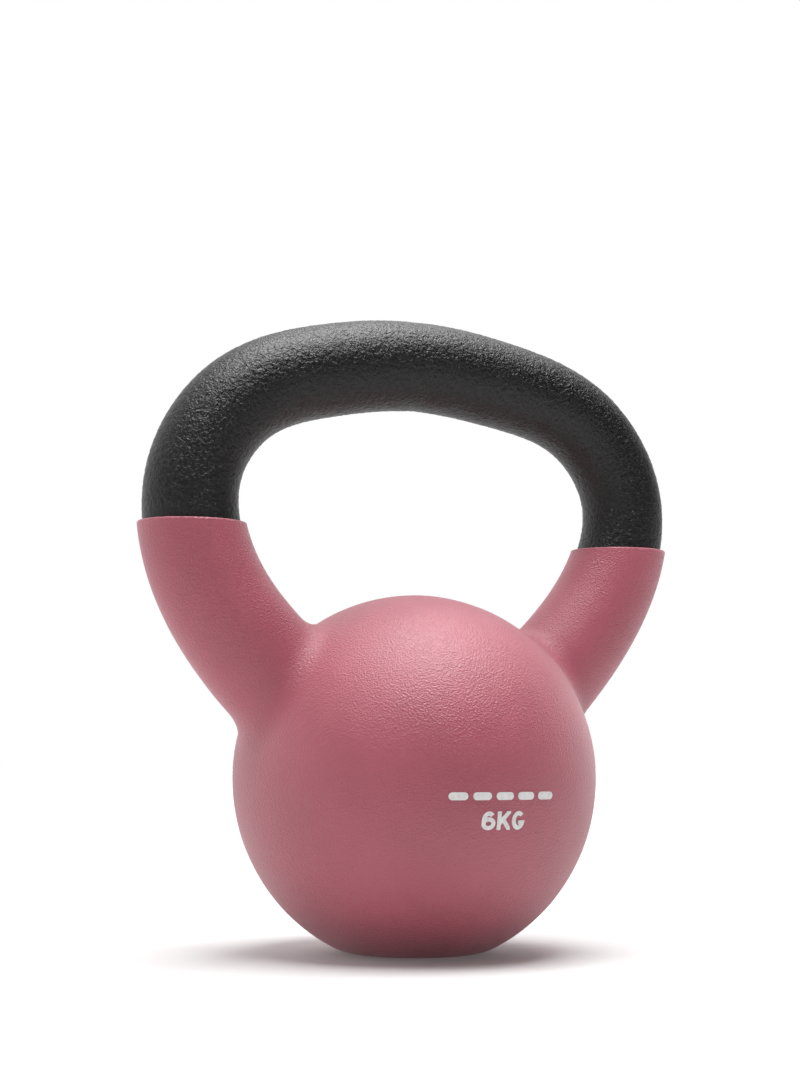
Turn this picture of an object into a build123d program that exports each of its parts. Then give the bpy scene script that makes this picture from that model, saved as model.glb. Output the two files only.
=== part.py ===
"""Vinyl-dipped cast-iron kettlebell, 6 kg.

The frame: origin at the centre of the flat base, +Z up, the handle's loop in the XZ plane,
and the printed weight mark on the -Y side. All lengths are in millimetres.

One iron casting is the ball, the two horns and the handle bar. Three layers lie on it:
  handle_coat   the textured black coat on the bare part of the handle
  vinyl_jacket  the dipped jacket over the ball and the horns, trimmed level below the bend
  weight_mark   the figures and the dashed rule printed on the front of the jacket
"""
from build123d import *
import math
import os

# ---- driving dimensions ---------------------------------------------------------------
BALL_R = 55.0            # outer radius of the jacketed ball
LOWER_STRETCH = 1.03     # the lower half is this much deeper than a true half ball
BASE_R = 20.6            # radius of the flat that the kettlebell stands on

JACKET_T = 2.0           # thickness of the vinyl on the iron, under the base too
LEFT_RIM_Z = 126.7       # heights of the jacket's trimmed rims on the two horns
RIGHT_RIM_Z = 124.5
RIM_ROUND = 0.6          # radius of the rims' outer edges
BASE_ROUND = 1.2         # radius of the jacket's edge around the base

COAT_T = 0.35            # thickness of the textured coat on the handle
COAT_TUCK = 6.0          # how far the coat runs down inside the jacket

# The loop of the handle is drawn in two halves that meet at the middle of the bar. Each
# half's centreline passes through its points (X, Z), from inside the ball, up the horn and
# round the bend. As cast, the right-hand leg is a little slimmer than the left-hand one.
LEFT_POINTS = [
    (-28.5, 68.7),
    (-51.0, 87.9),
    (-67.6, 111.9),
    (-71.7, 140.3),
    (-56.6, 164.5),
    (-29.1, 175.3),
    (0.0, 178.7),
]
RIGHT_POINTS = [
    (28.5, 68.7),
    (50.0, 88.0),
    (67.4, 111.8),
    (73.3, 140.6),
    (57.7, 165.0),
    (29.4, 175.2),
    (0.0, 178.7),
]
HORN_START_SLOPE = 34.0  # degrees above level at which each half leaves the ball
# Half width of the bare iron in the plane of the loop, evenly spaced along each half.
LEFT_HALF_WIDTHS = [16.4, 14.8, 13.8, 13.8, 13.45]
RIGHT_HALF_WIDTHS = [15.2, 13.7, 12.7, 13.1, 13.45]
DEPTH_RATIO = 0.92       # front-to-back depth of a section over its width in the loop
ROOT_FILLET = 5.5        # blend of the jacket where the horns run into the ball

MARK_T = 0.2             # how far the ink stands off the vinyl
MARK_X = 3.0             # the print sits this far to the right of the middle
MARK_STROKE = 1.2        # width of the printed strokes
FIGURE_HEIGHT = 5.2      # height of the figures
FIGURE_WIDTH = 4.2
FIGURE_GAP = 0.55
FIGURES_Z = 41.2         # height of the middle of the figures
MOUTH = 45.0             # degrees above level at which the 6 and the G open
ARM_SWEEP = 145.0        # degrees that the arm of the 6 runs round
DASHES = 5
DASH_LENGTH = 5.5
DASH_WIDTH = 2.2
DASH_PITCH = 7.0
DASHES_Z = 48.0          # height of the dashed rule above the figures

# ---- derived values -------------------------------------------------------------------
IRON_BALL_R = BALL_R - JACKET_T
BALL_DEPTH = BALL_R * LOWER_STRETCH
BALL_Z = BALL_DEPTH * math.sqrt(1 - (BASE_R / BALL_R) ** 2)
PEN_Z = (FIGURE_HEIGHT - MARK_STROKE) / 2     # the pen's reach above and below a figure's middle
PEN_X = (FIGURE_WIDTH - MARK_STROKE) / 2      # the pen's reach to each side
BOWL_R = 0.6 * PEN_Z     # the pen's reach above and below the middle of the 6's bowl
HORN_SIDE_X = LEFT_HALF_WIDTHS[0]             # a horn's root lies wholly further out than this

# ---- construction ---------------------------------------------------------------------
LOWER_SPANS = 4          # spans of the curve that draws the lower half of the ball
REACH = 250.0            # larger than the kettlebell, for cutting blocks
NEAR = 0.05              # how close a point is to a surface that it lies on


def half_handle(points, half_widths, grow):
    """One half of the handle, swept from inside the ball to the middle of the bar."""
    side = math.copysign(1, points[0][0])
    slope = math.radians(HORN_START_SLOPE)
    path = Spline(
        [(x, 0, z) for x, z in points],
        tangents=[(side * math.cos(slope), 0, math.sin(slope)), (-side, 0, 0)],
        tangent_scalars=[1, 1],
    )
    sections = []
    last = len(half_widths) - 1
    for i, half_width in enumerate(half_widths):
        across = Plane(origin=path @ (i / last), x_dir=(0, 1, 0), z_dir=path % (i / last))
        ellipse = across * Ellipse(half_width * DEPTH_RATIO + grow, half_width + grow)
        sections.append(ellipse.face())
    return sweep(sections, path=path, multisection=True)


def handle(grow):
    """The whole loop, grown by an even layer over the bare iron."""
    left = half_handle(LEFT_POINTS, LEFT_HALF_WIDTHS, grow)
    return left + half_handle(RIGHT_POINTS, RIGHT_HALF_WIDTHS, grow)


def ball(layer):
    """The ball with a slightly deeper lower half, grown by a layer over the bare iron."""
    radius = IRON_BALL_R + layer
    depth = BALL_DEPTH - JACKET_T + layer
    floor_z = JACKET_T - layer
    floor_angle = math.asin((BALL_Z - floor_z) / depth)
    angles = [floor_angle * i / LOWER_SPANS for i in range(LOWER_SPANS + 1)]
    lower_points = [(radius * math.cos(a), BALL_Z - depth * math.sin(a)) for a in angles]
    floor_tangent = (-radius * math.sin(floor_angle), -depth * math.cos(floor_angle))
    with BuildPart() as turned:
        with BuildSketch(Plane.XZ):
            with BuildLine():
                upper = CenterArc((0, BALL_Z), radius, 0, 90)
                lower = Spline(lower_points, tangents=[(0, -1), floor_tangent])
                Polyline(upper @ 1, (0, floor_z), lower @ 1)
            make_face()
        revolve(axis=Axis.Z)
    return turned.part


def is_root_edge(edge, radius):
    """True for a curve on the ball's upper half, away from its pole: a horn's root."""
    centre = Vector(0, 0, BALL_Z)
    points = [edge @ (i / 8) for i in range(9)]
    on_ball = all(abs((p - centre).length - radius) < NEAR for p in points)
    high = all(p.Z > BALL_Z - NEAR for p in points)
    to_the_side = min(abs(p.X) for p in points) > HORN_SIDE_X
    curved = max(abs(p.Y) for p in points) > NEAR
    return on_ball and high and to_the_side and curved


def kettlebell(layer, root_fillet):
    """Ball and loop in one, with blended horn roots, grown by a layer over the bare iron."""
    joined = ball(layer) + handle(layer)
    roots = joined.edges().filter_by(lambda e: is_root_edge(e, IRON_BALL_R + layer))
    return fillet(roots, root_fillet)


def below_rims(drop):
    """The space below the two rims, or below two levels that lie a drop lower."""
    block = Box(REACH, REACH, REACH, align=(Align.CENTER, Align.CENTER, Align.MAX))
    left = Pos(-REACH / 2, 0, LEFT_RIM_Z - drop) * block
    return left + Pos(REACH / 2, 0, RIGHT_RIM_Z - drop) * block


def is_rim_edge(edge):
    """True for the level outer edge of a cut horn."""
    box = edge.bounding_box()
    return box.size.Z < NEAR and box.min.Z > RIGHT_RIM_Z - NEAR


def make_iron_casting():
    """Ball, horns and bar: one grey-iron casting, flat underneath."""
    return kettlebell(0, ROOT_FILLET + JACKET_T)


def make_handle_coat(iron):
    """The thin black coat around the bare handle, tucked a little way into the jacket."""
    return handle(COAT_T) - below_rims(COAT_TUCK) - iron


def make_vinyl_jacket(iron, coat):
    """The dipped jacket: an even shell, trimmed level on both horns, its edges rounded."""
    shell = kettlebell(JACKET_T, ROOT_FILLET) & below_rims(0)
    shell = fillet(shell.edges().filter_by(is_rim_edge), RIM_ROUND)
    base = shell.edges().group_by(Axis.Z)[0]
    shell = fillet(base, BASE_ROUND)
    return shell - iron - coat


def stroke(line):
    """A printed stroke of even width along a line drawn in the mark's own plane."""
    return trace(line, MARK_STROKE)


def figure_six():
    """The figure 6: an oval bowl, and an arm that sweeps up its left side to an open top."""
    bowl_z = BOWL_R - PEN_Z
    bowl = Ellipse(FIGURE_WIDTH / 2, BOWL_R + MARK_STROKE / 2)
    bowl -= Ellipse(FIGURE_WIDTH / 2 - MARK_STROKE, BOWL_R - MARK_STROKE / 2)
    arm = EllipticalCenterArc((0, 0), PEN_X, PEN_Z, MOUTH, arc_size=ARM_SWEEP)
    return Pos(0, bowl_z) * bowl + stroke(arm)


def letter_k():
    """The capital K: a stem, and two arms cut off level with it."""
    stem = Pos(-PEN_X, 0) * Rectangle(MARK_STROKE, FIGURE_HEIGHT)
    arm = Line((-PEN_X, -PEN_Z / 2), (2 * PEN_X, 2 * PEN_Z))
    leg = Line((-PEN_X / 2, PEN_Z / 2), (2 * PEN_X, -2 * PEN_Z))
    arms = (stroke(arm) + stroke(leg)) & Rectangle(FIGURE_WIDTH, FIGURE_HEIGHT)
    return stem + arms


def letter_g():
    """The capital G: an open oval with a short bar at its mouth."""
    oval = EllipticalCenterArc((0, 0), PEN_X, PEN_Z, MOUTH, arc_size=360 - MOUTH)
    bar = Line((0, -MARK_STROKE / 2), (PEN_X, -MARK_STROKE / 2))
    return stroke(oval) + stroke(bar)


def make_weight_mark():
    """The print: figures and a dashed rule, as thin ink that follows the ball."""
    pitch = FIGURE_WIDTH + FIGURE_GAP
    flat = []
    for i, figure in enumerate([figure_six(), letter_k(), letter_g()]):
        flat.append(Pos(MARK_X + (i - 1) * pitch, FIGURES_Z) * figure)
    for i in range(DASHES):
        place = Pos(MARK_X + (i - (DASHES - 1) / 2) * DASH_PITCH, DASHES_Z)
        flat.append(place * SlotOverall(DASH_LENGTH, DASH_WIDTH))
    blanks = [extrude(Plane.XZ * shape, amount=REACH, dir=(0, -1, 0)) for shape in flat]
    ink_skin = ball(JACKET_T + MARK_T) - ball(JACKET_T)
    ink = []
    for blank in blanks:
        ink += (blank & ink_skin).solids()
    return Compound(children=ink)


def write(name, shape):
    """Write one node's STEP file."""
    export_step(shape, f"parts/{name}.step")


def main():
    """Build and write every node."""
    os.makedirs("parts", exist_ok=True)
    iron = make_iron_casting()
    coat = make_handle_coat(iron)
    write("iron_casting", iron)
    write("handle_coat", coat)
    write("vinyl_jacket", make_vinyl_jacket(iron, coat))
    write("weight_mark", make_weight_mark())


if __name__ == "__main__":
    main()
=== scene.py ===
"""The looks of the vinyl-dipped kettlebell.

Everything is in metres in the part's own frame: origin at the centre of the flat base, +Z up,
the loop of the handle in the XZ plane, and the print on the -Y side. Lengths that are easier
to read in millimetres are written as numbers times MM.
"""
import math

import bmesh
import bpy
import numpy as np
from mathutils import Euler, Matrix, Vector, noise


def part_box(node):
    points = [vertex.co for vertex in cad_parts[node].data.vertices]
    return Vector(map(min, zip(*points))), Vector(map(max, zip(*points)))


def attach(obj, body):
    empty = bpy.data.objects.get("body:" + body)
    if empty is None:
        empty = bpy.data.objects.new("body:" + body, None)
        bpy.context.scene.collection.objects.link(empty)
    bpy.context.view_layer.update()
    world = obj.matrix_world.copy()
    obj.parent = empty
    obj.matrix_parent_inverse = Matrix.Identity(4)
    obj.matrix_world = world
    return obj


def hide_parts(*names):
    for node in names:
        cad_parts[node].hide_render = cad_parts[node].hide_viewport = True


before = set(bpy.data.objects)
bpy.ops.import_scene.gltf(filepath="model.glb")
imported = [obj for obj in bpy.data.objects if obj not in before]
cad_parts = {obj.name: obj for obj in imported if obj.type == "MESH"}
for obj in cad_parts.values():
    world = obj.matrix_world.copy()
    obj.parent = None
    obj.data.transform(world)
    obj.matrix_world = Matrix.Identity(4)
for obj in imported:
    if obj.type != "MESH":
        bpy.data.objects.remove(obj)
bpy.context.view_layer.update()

MM = 0.001

# ---- the object's dimensions, in millimetres, as the CAD model has them -----------------
JACKET_LOW, JACKET_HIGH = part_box("vinyl_jacket")
BALL_R = (JACKET_HIGH[1] - JACKET_LOW[1]) / 2 / MM
LEFT_RIM_Z = JACKET_HIGH[2] / MM
RIM_DROP = 2.2             # the right-hand rim is this much lower
RIGHT_RIM_Z = LEFT_RIM_Z - RIM_DROP
BASE_R = 20.6              # radius of the flat that the kettlebell stands on
LOWER_STRETCH = 1.03       # the lower half is this much deeper than a true half ball
BALL_DEPTH = BALL_R * LOWER_STRETCH
BALL_Z = BALL_DEPTH * math.sqrt(1 - (BASE_R / BALL_R) ** 2)
JACKET_T = 2.0             # thickness of the vinyl
COAT_T = 0.35              # thickness of the handle's coat
COAT_TUCK = 6.0            # how far the coat runs down inside the jacket
# The centreline of each half of the handle passes through its points (x, z).
LEFT_POINTS = [
    (-28.5, 68.7),
    (-51.0, 87.9),
    (-67.6, 111.9),
    (-71.7, 140.3),
    (-56.6, 164.5),
    (-29.1, 175.3),
    (0.0, 178.7),
]
RIGHT_POINTS = [
    (28.5, 68.7),
    (50.0, 88.0),
    (67.4, 111.8),
    (73.3, 140.6),
    (57.7, 165.0),
    (29.4, 175.2),
    (0.0, 178.7),
]
HORN_START_SLOPE = math.radians(34)  # above level, where each half leaves the ball
# Half width of the bare iron in the plane of the loop, evenly spaced along each half.
LEFT_HALF_WIDTHS = [16.4, 14.8, 13.8, 13.8, 13.45]
RIGHT_HALF_WIDTHS = [15.2, 13.7, 12.7, 13.1, 13.45]
DEPTH_RATIO = 0.92         # front-to-back depth of a section over its width

# ---- what the eye sees beyond the CAD model ----------------------------------------------
ROOT_BLEND = 6.5           # width of the soft blend where horns meet the ball
BASE_BLEND = 2.0           # width of the rounded edge around the base
RIM_ROUND = 0.6            # radius of the rims' outer edge
RIM_LIP = 0.25             # size of the bevel on the rims' inner edge
RIM_RAGGED = 0.22          # how unevenly the rims were trimmed
RAGGED_SIZE = 2.6          # spacing of that unevenness
RAGGED_FINE_SIZE = 0.9     # and of the finer unevenness on it, which is half as high
CREST_SHARE = 0.35         # how much of it the outer edge of a rim takes
LIP_SHARE = 0.6            # and the inner edge
SOCKET_DEPTH = 7.0         # how deep the jacket's sleeve is around the coat
DIP_WAVE = 0.07            # slow unevenness of the dipped vinyl
DIP_WAVE_SIZE = 11         # and its spacing
BASE_FADE = 12             # it grows from nothing over this height above the base
RIM_FADE = 6               # and dies away over this height below the rims
PEBBLE_SIZE = 1.5          # spacing of the pebbles on the handle
PEBBLE_HEIGHT = 0.24       # from the creases to the tops of the pebbles
PEBBLE_MIDDLE = 0.62       # share of that height which lies below the coat's even surface
PEBBLE_SHIFT = 0.9         # how far the pebbles are pushed out of order
PEBBLE_SHIFT_SIZE = 3.1    # spacing of that disorder
PEBBLE_EDGE = 1.5          # how soon a pebble rises from its crease
PEBBLE_DOME = 0.6          # power that rounds a pebble's top
GRAIN_SHARE = 0.72         # how much of the texture is pebbles
FINE_SHARE = 0.28          # and how much is finer roughness
FINE_SIZE = 0.9            # spacing of the finer roughness
FINE_OCTAVES = (1.0, 2.0, 2)  # its falloff, the ratio between its octaves, and their number
COAT_SWELL = 0.05          # slow unevenness of the coat
COAT_SWELL_SIZE = 9        # and its spacing

# ---- how finely it is all worked out, in millimetres where it is a length ----------------
HALF_STATIONS = 360        # stations along each half of the loop
FINE_STEPS = 40            # steps between stations while a half is measured
FIELD_STEP = 0.02          # step over which a field's slope is taken
SETTLE_ROUNDS = 5          # rounds in which points move onto the jacket's surface
LEVEL_ROUNDS = 6           # rounds in which a rim's points move onto the horn's skin
CHUNK = 20000              # points handled at once when the nearest station is looked up
BALL_SEGMENTS = 96         # faces around the ball before it is made even
BALL_RINGS = 64            # and from pole to pole
STUB_RINGS = 40            # rings along a horn's stub
STUB_SIDES = 64            # and faces around it
STUB_ABOVE = 6             # how far a stub rises above its rim before it is trimmed
TRIM_REACH = 20            # depth of the part of a horn that is trimmed
JACKET_VOXEL = 0.95        # spacing of the jacket's mesh
RIM_STEPS = 5              # rings of faces around a rim's outer edge
COAT_RINGS = 500           # faces along the handle coat
COAT_SIDES = 188           # and around it
SEED_STEPS = (17.3, 5.1, 9.7)  # how far a noise is moved for each seed
SHIFT_SEED = 1             # starts the noise that shifts the pebbles, so that it is always the same


# ==== the centreline of the handle =======================================================
def clamped_spline(knots, values, start_slope, end_slope):
    """A smooth cubic curve through values at knots, with the slopes at its ends given.

    Returns a function of the place along the knots.
    """
    count = len(knots)
    steps = np.diff(knots)
    slopes = np.diff(values, axis=0) / steps[:, None]
    matrix = np.zeros((count, count))
    right = np.zeros((count, values.shape[1]))
    matrix[0, 0] = matrix[-1, -1] = 1
    right[0], right[-1] = start_slope, end_slope
    for i in range(1, count - 1):
        matrix[i, i - 1 : i + 2] = steps[i], 2 * (steps[i - 1] + steps[i]), steps[i - 1]
        right[i] = 3 * (steps[i] * slopes[i - 1] + steps[i - 1] * slopes[i])
    tangents = np.linalg.solve(matrix, right)

    def at(where):
        i = np.clip(np.searchsorted(knots, where) - 1, 0, count - 2)
        width = steps[i][:, None]
        t = ((where - knots[i]) / steps[i])[:, None]
        start = (1 + 2 * t) * (1 - t) ** 2 * values[i] + t**2 * (3 - 2 * t) * values[i + 1]
        return start + width * t * (1 - t) * ((1 - t) * tangents[i] - t * tangents[i + 1])

    return at


def half_loop(corners, half_widths, samples):
    """Evenly spaced stations of one half, from the root to the middle of the bar.

    Each row is x, z, the unit tangent's x and z, and the half width in the loop's plane.
    """
    points = np.array(corners)
    side = math.copysign(1, points[0, 0])
    knots = np.concatenate([[0], np.cumsum(np.linalg.norm(np.diff(points, axis=0), axis=1))])
    start = np.array([side * math.cos(HORN_START_SLOPE), math.sin(HORN_START_SLOPE)])
    curve = clamped_spline(knots, points, start, np.array([-side, 0.0]))
    fine = curve(np.linspace(0, knots[-1], FINE_STEPS * samples))
    length = np.concatenate([[0], np.cumsum(np.linalg.norm(np.diff(fine, axis=0), axis=1))])
    share = np.linspace(0, 1, samples)
    line = np.stack([np.interp(share * length[-1], length, fine[:, k]) for k in (0, 1)], axis=1)
    tangent = np.gradient(line, axis=0)
    tangent /= np.linalg.norm(tangent, axis=1)[:, None]
    last = len(half_widths) - 1
    law = np.polyfit(np.linspace(0, 1, last + 1), half_widths, last)
    return np.column_stack([line, tangent, np.polyval(law, share)])


def whole_loop(samples):
    """Stations of the whole loop, from the left root over the bar to the right root."""
    left = half_loop(LEFT_POINTS, LEFT_HALF_WIDTHS, samples)
    right = half_loop(RIGHT_POINTS, RIGHT_HALF_WIDTHS, samples)[::-1]
    right[:, 2:4] *= -1
    return np.concatenate([left, right[1:]])


LOOP = whole_loop(HALF_STATIONS)


# ==== distance fields, in millimetres ====================================================
def smooth_min(a, b, blend):
    """The smaller of two distances, rounded over where they are within blend of each other."""
    overlap = np.maximum(blend - np.abs(a - b), 0) / blend
    return np.minimum(a, b) - overlap**2 * blend / 4


def nearest_station(points):
    """Index of the loop's station nearest to each point."""
    flat = points[:, [0, 2]]
    found = np.empty(len(flat), dtype=int)
    for start in range(0, len(flat), CHUNK):
        part = flat[start : start + CHUNK]
        off_x = part[:, None, 0] - LOOP[None, :, 0]
        off_z = part[:, None, 1] - LOOP[None, :, 1]
        found[start : start + CHUNK] = (off_x**2 + off_z**2).argmin(axis=1)
    return found


def handle_distance(points, station, layer):
    """Signed distance to the loop, grown by a layer over the bare iron."""
    x, z, tangent_x, tangent_z, width = LOOP[station].T
    across = (points[:, 0] - x) * -tangent_z + (points[:, 2] - z) * tangent_x
    in_plane = across / (width + layer)
    front_back = points[:, 1] / (width * DEPTH_RATIO + layer)
    return (np.hypot(in_plane, front_back) - 1) * (width + layer)


def ball_distance(points, layer):
    """Signed distance to the ball, whose lower half is a little deeper."""
    radius = BALL_R - JACKET_T + layer
    height = points[:, 2] - BALL_Z
    height = np.where(height < 0, height / LOWER_STRETCH, height)
    return np.sqrt(points[:, 0] ** 2 + points[:, 1] ** 2 + height**2) - radius


def jacket_distance(points, station):
    """Signed distance to the jacket's outside, with blended roots and a rounded base edge."""
    body = smooth_min(
        ball_distance(points, JACKET_T), handle_distance(points, station, JACKET_T), ROOT_BLEND
    )
    return -smooth_min(-body, points[:, 2], BASE_BLEND)


def gradient(field, points, station):
    """The field's value at points, and its slope there."""
    value = field(points, station)
    slope = np.empty_like(points)
    for axis in range(3):
        moved = points.copy()
        moved[:, axis] += FIELD_STEP
        slope[:, axis] = (field(moved, station) - value) / FIELD_STEP
    return value, slope


def settle(points, field):
    """Moves points onto the field's zero surface; returns them with their outward normals."""
    for _ in range(SETTLE_ROUNDS):
        station = nearest_station(points)
        value, slope = gradient(field, points, station)
        points = points - slope * (value / (slope**2).sum(axis=1))[:, None]
    slope /= np.linalg.norm(slope, axis=1)[:, None]
    return points, slope


# ==== mesh helpers ======================================================================
def mesh_object(name, points_mm, faces):
    """A smooth-shaded object from points in millimetres."""
    mesh = bpy.data.meshes.new(name)
    mesh.from_pydata((points_mm * MM).tolist(), [], faces)
    mesh.update()
    mesh.shade_smooth()
    obj = bpy.data.objects.new(name, mesh)
    bpy.context.scene.collection.objects.link(obj)
    return obj


def mesh_points(mesh):
    """A mesh's points in millimetres."""
    flat = np.empty(len(mesh.vertices) * 3)
    mesh.vertices.foreach_get("co", flat)
    return flat.reshape(-1, 3) / MM


def set_mesh_points(mesh, points_mm):
    """Puts a mesh's points where points_mm says."""
    mesh.vertices.foreach_set("co", (points_mm * MM).ravel())
    mesh.update()


def tube(stations, sides, layer):
    """Points and faces of a closed tube along stations, grown by a layer over the bare iron."""
    turn = np.linspace(0, 2 * math.pi, sides, endpoint=False)
    rings = []
    for x, z, tx, tz, width in stations:
        side = np.cos(turn) * (width + layer)
        deep = np.sin(turn) * (width * DEPTH_RATIO + layer)
        rings.append(np.stack([x - tz * side, deep, z + tx * side], axis=1))
    faces = []
    for i in range(len(rings) - 1):
        for j in range(sides):
            k = (j + 1) % sides
            faces.append((i * sides + j, i * sides + k, (i + 1) * sides + k, (i + 1) * sides + j))
    last = (len(rings) - 1) * sides
    faces.append(tuple(range(sides - 1, -1, -1)))
    faces.append(tuple(last + j for j in range(sides)))
    return np.concatenate(rings), faces


def stretch(low, high, count):
    """Evenly spaced stations between two places on the loop.

    A place runs from 0 at the left root to 1 at the right root, and the bar's middle is at 0.5.
    """
    where = np.linspace(low, high, count) * (len(LOOP) - 1)
    index = np.arange(len(LOOP))
    return np.column_stack([np.interp(where, index, LOOP[:, k]) for k in range(LOOP.shape[1])])


def rim_height(x):
    """Height of the rim on the left (x below 0) or the right horn."""
    return np.where(x < 0, LEFT_RIM_Z, RIGHT_RIM_Z)


def place_at_rim(side, above):
    """Place on the loop at which its left (-1) or right (1) leg is this far above its rim."""
    height = float(rim_height(side)) + above
    middle = len(LOOP) // 2
    leg = LOOP[:middle, 1] if side < 0 else LOOP[::-1, 1][:middle]
    place = float(np.interp(height, leg, np.arange(middle))) / (len(LOOP) - 1)
    return place if side < 0 else 1 - place


# ==== the vinyl jacket ==================================================================
def raw_jacket():
    """Ball and horn stubs as one even mesh: the start for the settled surface."""
    parts = bmesh.new()
    bmesh.ops.create_uvsphere(
        parts, u_segments=BALL_SEGMENTS, v_segments=BALL_RINGS, radius=BALL_R * MM
    )
    bmesh.ops.translate(parts, verts=parts.verts, vec=(0, 0, BALL_Z * MM))
    mesh = bpy.data.meshes.new("raw_jacket")
    parts.to_mesh(mesh)
    parts.free()
    ball = bpy.data.objects.new("raw_jacket", mesh)
    bpy.context.scene.collection.objects.link(ball)
    for side in (-1, 1):
        root = 0 if side < 0 else 1
        stub = stretch(root, place_at_rim(side, STUB_ABOVE), STUB_RINGS)
        points, faces = tube(stub, STUB_SIDES, JACKET_T)
        horn = mesh_object("raw_horn", points, faces)
        joined = bmesh.new()
        joined.from_mesh(mesh)
        joined.from_mesh(horn.data)
        bmesh.ops.recalc_face_normals(joined, faces=joined.faces)
        joined.to_mesh(mesh)
        joined.free()
        bpy.data.objects.remove(horn)
    remesh = ball.modifiers.new("even", "REMESH")
    remesh.mode = "VOXEL"
    remesh.voxel_size = JACKET_VOXEL * MM
    graph = bpy.context.evaluated_depsgraph_get()
    even = bpy.data.meshes.new_from_object(ball.evaluated_get(graph))
    bpy.data.objects.remove(ball)
    return even


def wave(points, size, seed):
    """Slow noise of about -1..1 at points, with features of this size in millimetres."""
    offset = Vector([seed * step for step in SEED_STEPS])
    return np.array([noise.noise(Vector(p) / size + offset) for p in points])


def make_jacket():
    """The dipped jacket: settled outside, rounded ragged rims, and a sleeve for the coat."""
    even = raw_jacket()
    points, normals = settle(mesh_points(even), jacket_distance)
    below_rim = rim_height(points[:, 0]) - points[:, 2]
    fade = np.clip(points[:, 2] / BASE_FADE, 0, 1) * np.clip(below_rim / RIM_FADE, 0, 1)
    points += normals * (DIP_WAVE * wave(points, DIP_WAVE_SIZE, seed=1) * fade)[:, None]
    set_mesh_points(even, points)
    work = bmesh.new()
    work.from_mesh(even)
    for side in (-1, 1):
        trim(work, side)
    edge = [e for e in work.edges if e.is_boundary]
    for ring in loops_of(edge):
        finish_rim(work, ring)
    bmesh.ops.recalc_face_normals(work, faces=work.faces)
    mesh = bpy.data.meshes.new("jacket")
    work.to_mesh(mesh)
    work.free()
    mesh.shade_smooth()
    obj = bpy.data.objects.new("jacket", mesh)
    bpy.context.scene.collection.objects.link(obj)
    return obj


def trim(work, side):
    """Cuts one horn off level, where the rounding of its rim starts."""
    cut_z = float(rim_height(side)) - RIM_ROUND
    high = (cut_z - TRIM_REACH) * MM
    faces = [f for f in work.faces if all(v.co.x * side > 0 and v.co.z > high for v in f.verts)]
    edges = dict.fromkeys(e for f in faces for e in f.edges)
    verts = dict.fromkeys(v for f in faces for v in f.verts)
    bmesh.ops.bisect_plane(
        work,
        geom=[*verts, *edges, *faces],
        plane_co=(0, 0, cut_z * MM),
        plane_no=(0, 0, 1),
        clear_outer=True,
    )


def loops_of(edges):
    """Splits boundary edges into closed rings of mesh points, in order."""
    left = dict.fromkeys(edges)
    rings = []
    while left:
        edge = next(iter(left))
        del left[edge]
        first, here = edge.verts
        ring = [first, here]
        while True:
            onward = [e for e in here.link_edges if e in left]
            if not onward:
                break
            del left[onward[0]]
            here = onward[0].other_vert(here)
            if here is first:
                break
            ring.append(here)
        rings.append(ring)
    return rings


def finish_rim(work, ring):
    """Rounds one rim inward from its cut ring, then turns it down along the coat."""
    start = np.array([v.co[:] for v in ring]) / MM
    inner, inward_dir = settle_flat(start + [0, 0, RIM_ROUND], JACKET_T - COAT_T)
    ragged = RIM_RAGGED * wave(inner, RAGGED_SIZE, seed=3)
    ragged = ragged + 0.5 * RIM_RAGGED * wave(inner, RAGGED_FINE_SIZE, seed=4)
    rings = []
    for i in range(1, RIM_STEPS + 1):
        angle = math.pi / 2 * i / RIM_STEPS
        step_in = RIM_ROUND * (1 - math.cos(angle))
        rings.append(start + inward_dir * step_in + [0, 0, RIM_ROUND * math.sin(angle)])
    rings[-1][:, 2] += ragged * CREST_SHARE
    lip = inner - inward_dir * RIM_LIP
    lip[:, 2] += ragged * LIP_SHARE
    rings.append(lip)
    edge = inner.copy()
    edge[:, 2] += ragged * LIP_SHARE - RIM_LIP
    rings.append(edge)
    deep = inner.copy()
    deep[:, 2] -= SOCKET_DEPTH
    deep, _ = settle_flat(deep, JACKET_T - COAT_T)
    rings.append(deep)
    previous = ring
    for points in rings:
        fresh = [work.verts.new(Vector(p) * MM) for p in points]
        count = len(fresh)
        for j in range(count):
            k = (j + 1) % count
            work.faces.new((previous[j], previous[k], fresh[k], fresh[j]))
        previous = fresh
    work.faces.new(previous)


def settle_flat(points, inset):
    """Moves points level onto the horn's skin, inset from the jacket's outside.

    Returns the moved points and the level inward directions.
    """
    def field(where, station):
        return handle_distance(where, station, JACKET_T) + inset

    for _ in range(LEVEL_ROUNDS):
        station = nearest_station(points)
        value, slope = gradient(field, points, station)
        slope[:, 2] = 0
        points = points - slope * (value / (slope**2).sum(axis=1))[:, None]
    return points, -slope / np.linalg.norm(slope, axis=1)[:, None]


# ==== the textured handle coat ============================================================
def pebbles(point):
    """Height 0..1 of the pebbled coat at a point: rounded grains with creases between them."""
    shift = noise.noise_vector(point / PEBBLE_SHIFT_SIZE) * PEBBLE_SHIFT
    gaps, _ = noise.voronoi((point + shift) / PEBBLE_SIZE)
    grain = min((gaps[1] - gaps[0]) * PEBBLE_EDGE, 1.0)
    fine = noise.fractal(point / FINE_SIZE, *FINE_OCTAVES)
    return GRAIN_SHARE * grain**PEBBLE_DOME + FINE_SHARE * (0.5 + 0.5 * fine)


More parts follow.
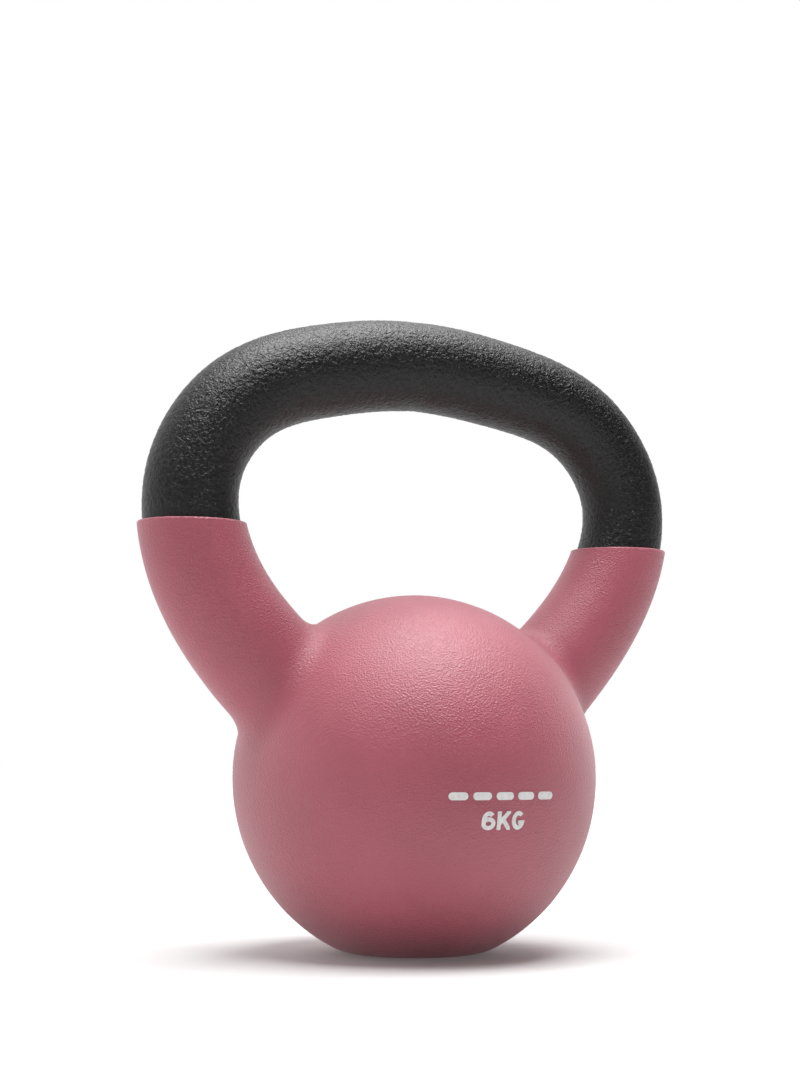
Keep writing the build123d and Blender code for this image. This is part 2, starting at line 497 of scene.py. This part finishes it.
def make_coat():
    """The coat as a pebbled tube that starts and ends inside the jacket's sleeves."""
    left_end = place_at_rim(-1, -COAT_TUCK)
    right_end = place_at_rim(1, -COAT_TUCK)
    path = stretch(left_end, right_end, COAT_RINGS + 1)
    points, faces = tube(path, COAT_SIDES, COAT_T)
    centre = np.repeat(np.insert(path[:, :2], 1, 0, axis=1), COAT_SIDES, axis=0)
    outward = points - centre
    outward /= np.linalg.norm(outward, axis=1)[:, None]
    noise.seed_set(SHIFT_SEED)
    height = np.array([pebbles(Vector(p)) for p in points]) - PEBBLE_MIDDLE
    swell = COAT_SWELL * wave(points, COAT_SWELL_SIZE, seed=6)
    points += outward * (PEBBLE_HEIGHT * height + swell)[:, None]
    return mesh_object("coat", points, faces)


# ==== materials ===========================================================================
MOTTLE_LOW = 0.3           # a mottling noise gives the darker colour below this value
MOTTLE_HIGH = 0.7          # and the lighter colour above this one
VINYL_TURN = (0.6, 0.45, 0.9)  # turns the vinyl's grain away from the axes, in radians
VINYL_SHIFT = 0.0005       # how far its cells are pushed about, in metres


def material(name):
    """A new node material, with its tree and its principled shader."""
    made = bpy.data.materials.new(name)
    made.use_nodes = True
    tree = made.node_tree
    return made, tree, tree.nodes["Principled BSDF"]


def add(tree, kind, **inputs):
    """A node of a kind, with input sockets set by name."""
    node = tree.nodes.new(kind)
    for key, value in inputs.items():
        node.inputs[key.replace("_", " ")].default_value = value
    return node


def own_place(tree):
    """Where a point is in its object's own coordinates, in metres."""
    for node in tree.nodes:
        if node.type == "TEX_COORD":
            return node.outputs["Object"]
    return tree.nodes.new("ShaderNodeTexCoord").outputs["Object"]


def noise_at(tree, place, scale, detail=3.0, rough=0.5, twist=0.0):
    """3-D noise at a place, in features per metre."""
    node = add(
        tree, "ShaderNodeTexNoise", Scale=scale, Detail=detail, Roughness=rough, Distortion=twist
    )
    tree.links.new(place, node.inputs["Vector"])
    return node


def colour_by(tree, shader, source, dark, light):
    """Mottles the surface between two colours, by a 0..1 value."""
    node = tree.nodes.new("ShaderNodeValToRGB")
    stops = ((MOTTLE_LOW, dark), (MOTTLE_HIGH, light))
    for element, (position, colour) in zip(node.color_ramp.elements, stops):
        element.position = position
        element.color = (*colour, 1)
    tree.links.new(source, node.inputs["Fac"])
    tree.links.new(node.outputs["Color"], shader.inputs["Base Color"])


def roughen_by(tree, shader, source, low, high):
    """Varies the surface's roughness from low to high, by a 0..1 value."""
    node = add(tree, "ShaderNodeMapRange", To_Min=low, To_Max=high)
    tree.links.new(source, node.inputs["Value"])
    tree.links.new(node.outputs["Result"], shader.inputs["Roughness"])


def bump(tree, shader, layers):
    """Stacks bumps: each layer is (height socket, distance in metres, strength)."""
    normal = None
    for height, distance, strength in layers:
        node = add(tree, "ShaderNodeBump", Strength=strength, Distance=distance)
        tree.links.new(height, node.inputs["Height"])
        if normal is not None:
            tree.links.new(normal, node.inputs["Normal"])
        normal = node.outputs["Normal"]
    tree.links.new(normal, shader.inputs["Normal"])


def vinyl_grain(tree):
    """Heights of the vinyl's leathery grain: fine noise, and small cells that it pushes about."""
    turned = add(tree, "ShaderNodeMapping", Rotation=VINYL_TURN)
    tree.links.new(own_place(tree), turned.inputs["Vector"])
    place = turned.outputs["Vector"]
    warp = noise_at(tree, place, scale=1150)
    shifted = tree.nodes.new("ShaderNodeVectorMath")
    shifted.operation = "MULTIPLY_ADD"
    shifted.inputs[1].default_value = (VINYL_SHIFT, VINYL_SHIFT, VINYL_SHIFT)
    tree.links.new(warp.outputs["Color"], shifted.inputs[0])
    tree.links.new(place, shifted.inputs[2])
    cells = add(tree, "ShaderNodeTexVoronoi", Scale=1900)
    tree.links.new(shifted.outputs["Vector"], cells.inputs["Vector"])
    return warp.outputs["Fac"], cells.outputs["Distance"]


def vinyl_material():
    """Rose vinyl: satin, with a fine leathery grain and a soft sheen at its edges."""
    made, tree, shader = material("rose_vinyl")
    mottle = noise_at(tree, own_place(tree), scale=45).outputs["Fac"]
    colour_by(tree, shader, mottle, dark=(0.355, 0.047, 0.082), light=(0.40, 0.060, 0.100))
    roughen_by(tree, shader, mottle, low=0.49, high=0.57)
    shader.inputs["Sheen Weight"].default_value = 0.3
    shader.inputs["Sheen Roughness"].default_value = 0.5
    shader.inputs["Specular IOR Level"].default_value = 1.0
    fine, cells = vinyl_grain(tree)
    bump(tree, shader, [(fine, 0.0003, 0.4), (cells, 0.0003, 0.55)])
    return made


def coat_material():
    """Charcoal-black textured coat with a low, broad sheen."""
    made, tree, shader = material("black_textured_coat")
    place = own_place(tree)
    mottle = noise_at(tree, place, scale=60).outputs["Fac"]
    colour_by(tree, shader, mottle, dark=(0.0025, 0.0027, 0.0026), light=(0.005, 0.0053, 0.0052))
    crinkle = noise_at(tree, place, scale=900, detail=2, rough=0.6, twist=0.8).outputs["Fac"]
    fine = noise_at(tree, place, scale=2200, rough=0.6).outputs["Fac"]
    roughen_by(tree, shader, fine, low=0.31, high=0.41)
    shader.inputs["Specular IOR Level"].default_value = 0.42
    bump(tree, shader, [(crinkle, 0.0006, 0.8), (fine, 0.0003, 0.5)])
    return made


def iron_material():
    """Bare grey iron, as cast: hidden under the coat and the jacket."""
    made, tree, shader = material("cast_iron")
    mottle = noise_at(tree, own_place(tree), scale=90, detail=4).outputs["Fac"]
    colour_by(tree, shader, mottle, dark=(0.09, 0.09, 0.092), light=(0.17, 0.165, 0.16))
    sand = noise_at(tree, own_place(tree), scale=1400).outputs["Fac"]
    roughen_by(tree, shader, mottle, low=0.5, high=0.75)
    shader.inputs["Metallic"].default_value = 0.9
    bump(tree, shader, [(sand, 0.0003, 0.5)])
    return made


def ink_material():
    """White screen ink, slightly uneven."""
    made, tree, shader = material("white_ink")
    mottle = noise_at(tree, own_place(tree), scale=900).outputs["Fac"]
    colour_by(tree, shader, mottle, dark=(0.70, 0.70, 0.69), light=(0.84, 0.84, 0.83))
    roughen_by(tree, shader, mottle, low=0.5, high=0.65)
    bump(tree, shader, [(mottle, 0.0001, 0.4)])
    return made


def floor_material():
    """Plain pale studio paper with a painted glow: it glows faintly near the kettlebell, where the
    glow lights its underside from below, and brightly far away, where it whitens the far floor.
    """
    made, tree, shader = material("pale_floor")
    shade = noise_at(tree, own_place(tree), scale=3, detail=2).outputs["Fac"]
    colour_by(tree, shader, shade, dark=(0.63, 0.63, 0.63), light=(0.65, 0.65, 0.65))
    shader.inputs["Roughness"].default_value = 0.8
    shader.inputs["Emission Color"].default_value = (1, 1, 1, 1)
    # Painted light: the floor's glow rises with the distance from the kettlebell, a faint painted
    # bounce light near it and a bright painted white far away.
    reach = tree.nodes.new("ShaderNodeVectorMath")
    reach.operation = "LENGTH"
    tree.links.new(own_place(tree), reach.inputs[0])
    glow = add(tree, "ShaderNodeMapRange", From_Min=0.3, From_Max=1.5, To_Min=0.08, To_Max=0.85)
    tree.links.new(reach.outputs["Value"], glow.inputs["Value"])
    tree.links.new(glow.outputs["Result"], shader.inputs["Emission Strength"])
    return made


def wear(obj, finish):
    """Gives an object its material."""
    obj.data.materials.clear()
    obj.data.materials.append(finish)


# ==== the set ===============================================================================
CAMERA_AZIMUTH = math.radians(-24.5)
CAMERA_DISTANCE = 0.597    # level distance from the kettlebell's axis
CAMERA_HEIGHT = 0.0623
CAMERA_PITCH = math.radians(6.16)
CAMERA_PAN = math.radians(0.44)
CAMERA_ROLL = math.radians(0.25)
CAMERA_LENS = 65.8         # millimetres

BRIGHT_TURN = math.radians(35)  # from straight ahead of the camera to the brightest side
DIM_LEVEL = 0.03           # brightness of the surroundings behind the camera
WHITE_LEVEL = 1.1          # and beyond the kettlebell
DIM_FROM = -0.45           # cosine from the brightest side at which they start to brighten
WHITE_FROM = 0.55          # and at which they are fully bright
FLOOR_SIZE = 8
TOP_LIGHT_PLACE = (0.05, -0.06, 0.85)
TOP_LIGHT_AIM = (0, 0, 0.1)
TOP_LIGHT_SIZE = (0.7, 0.55)
TOP_LIGHT_POWER = 12.5     # watts


def make_camera():
    """The camera, low and a little to the left of the print."""
    data = bpy.data.cameras.new("camera")
    data.lens = CAMERA_LENS
    data.clip_start = 0.01
    camera = bpy.data.objects.new("camera", data)
    camera.location = (
        math.sin(CAMERA_AZIMUTH) * CAMERA_DISTANCE,
        -math.cos(CAMERA_AZIMUTH) * CAMERA_DISTANCE,
        CAMERA_HEIGHT,
    )
    aim = Euler((math.pi / 2 + CAMERA_PITCH, 0, CAMERA_AZIMUTH + CAMERA_PAN), "XYZ").to_matrix()
    roll = Euler((0, 0, CAMERA_ROLL), "XYZ").to_matrix()
    camera.rotation_euler = (aim @ roll).to_euler()
    bpy.context.scene.collection.objects.link(camera)
    bpy.context.scene.camera = camera


def softbox(name, place, aim, size, power):
    """A rectangular area light of a size in metres, turned towards a point."""
    data = bpy.data.lights.new(name, "AREA")
    data.shape = "RECTANGLE"
    data.size, data.size_y = size
    data.energy = power
    light = bpy.data.objects.new(name, data)
    light.location = place
    light.rotation_euler = (Vector(aim) - Vector(place)).to_track_quat("-Z", "Y").to_euler()
    bpy.context.scene.collection.objects.link(light)


def make_surroundings():
    """White surroundings that light the kettlebell dimly from the camera's side.

    The camera itself sees them plain white.
    """
    world = bpy.data.worlds.new("studio")
    world.use_nodes = True
    tree = world.node_tree
    place = tree.nodes.new("ShaderNodeTexCoord")
    along = tree.nodes.new("ShaderNodeVectorMath")
    along.operation = "DOT_PRODUCT"
    bright = CAMERA_AZIMUTH + BRIGHT_TURN
    along.inputs[1].default_value = (-math.sin(bright), math.cos(bright), 0)
    tree.links.new(place.outputs["Generated"], along.inputs[0])
    light = add(
        tree,
        "ShaderNodeMapRange",
        From_Min=DIM_FROM,
        From_Max=WHITE_FROM,
        To_Min=DIM_LEVEL,
        To_Max=WHITE_LEVEL,
    )
    light.interpolation_type = "SMOOTHSTEP"
    tree.links.new(along.outputs["Value"], light.inputs["Value"])
    seen = tree.nodes.new("ShaderNodeLightPath")
    level = tree.nodes.new("ShaderNodeMix")
    level.inputs["B"].default_value = 1.0
    tree.links.new(seen.outputs["Is Camera Ray"], level.inputs["Factor"])
    tree.links.new(light.outputs["Result"], level.inputs["A"])
    background = tree.nodes["Background"]
    background.inputs["Color"].default_value = (1, 1, 1, 1)
    tree.links.new(level.outputs["Result"], background.inputs["Strength"])
    bpy.context.scene.world = world
    bpy.context.scene.view_settings.view_transform = "Standard"


def make_set():
    """Pale floor with a painted glow, soft top light, and white surroundings."""
    bpy.ops.mesh.primitive_plane_add(size=FLOOR_SIZE, location=(0, 0, 0))
    floor = bpy.context.object
    floor.name = "floor"
    floor.data.materials.append(floor_material())
    make_surroundings()
    softbox("top_light", TOP_LIGHT_PLACE, TOP_LIGHT_AIM, TOP_LIGHT_SIZE, TOP_LIGHT_POWER)


def main():
    """Builds the pieces, the materials and the set."""
    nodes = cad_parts
    make_camera()
    jacket = make_jacket()
    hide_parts("vinyl_jacket")
    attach(jacket, "root")
    wear(jacket, vinyl_material())
    coat = make_coat()
    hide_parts("handle_coat")
    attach(coat, "root")
    wear(coat, coat_material())
    for name, finish in (("iron_casting", iron_material()), ("weight_mark", ink_material())):
        for slot in nodes[name].material_slots:
            slot.material = finish
    make_set()


main()
bpy.context.view_layer.update()
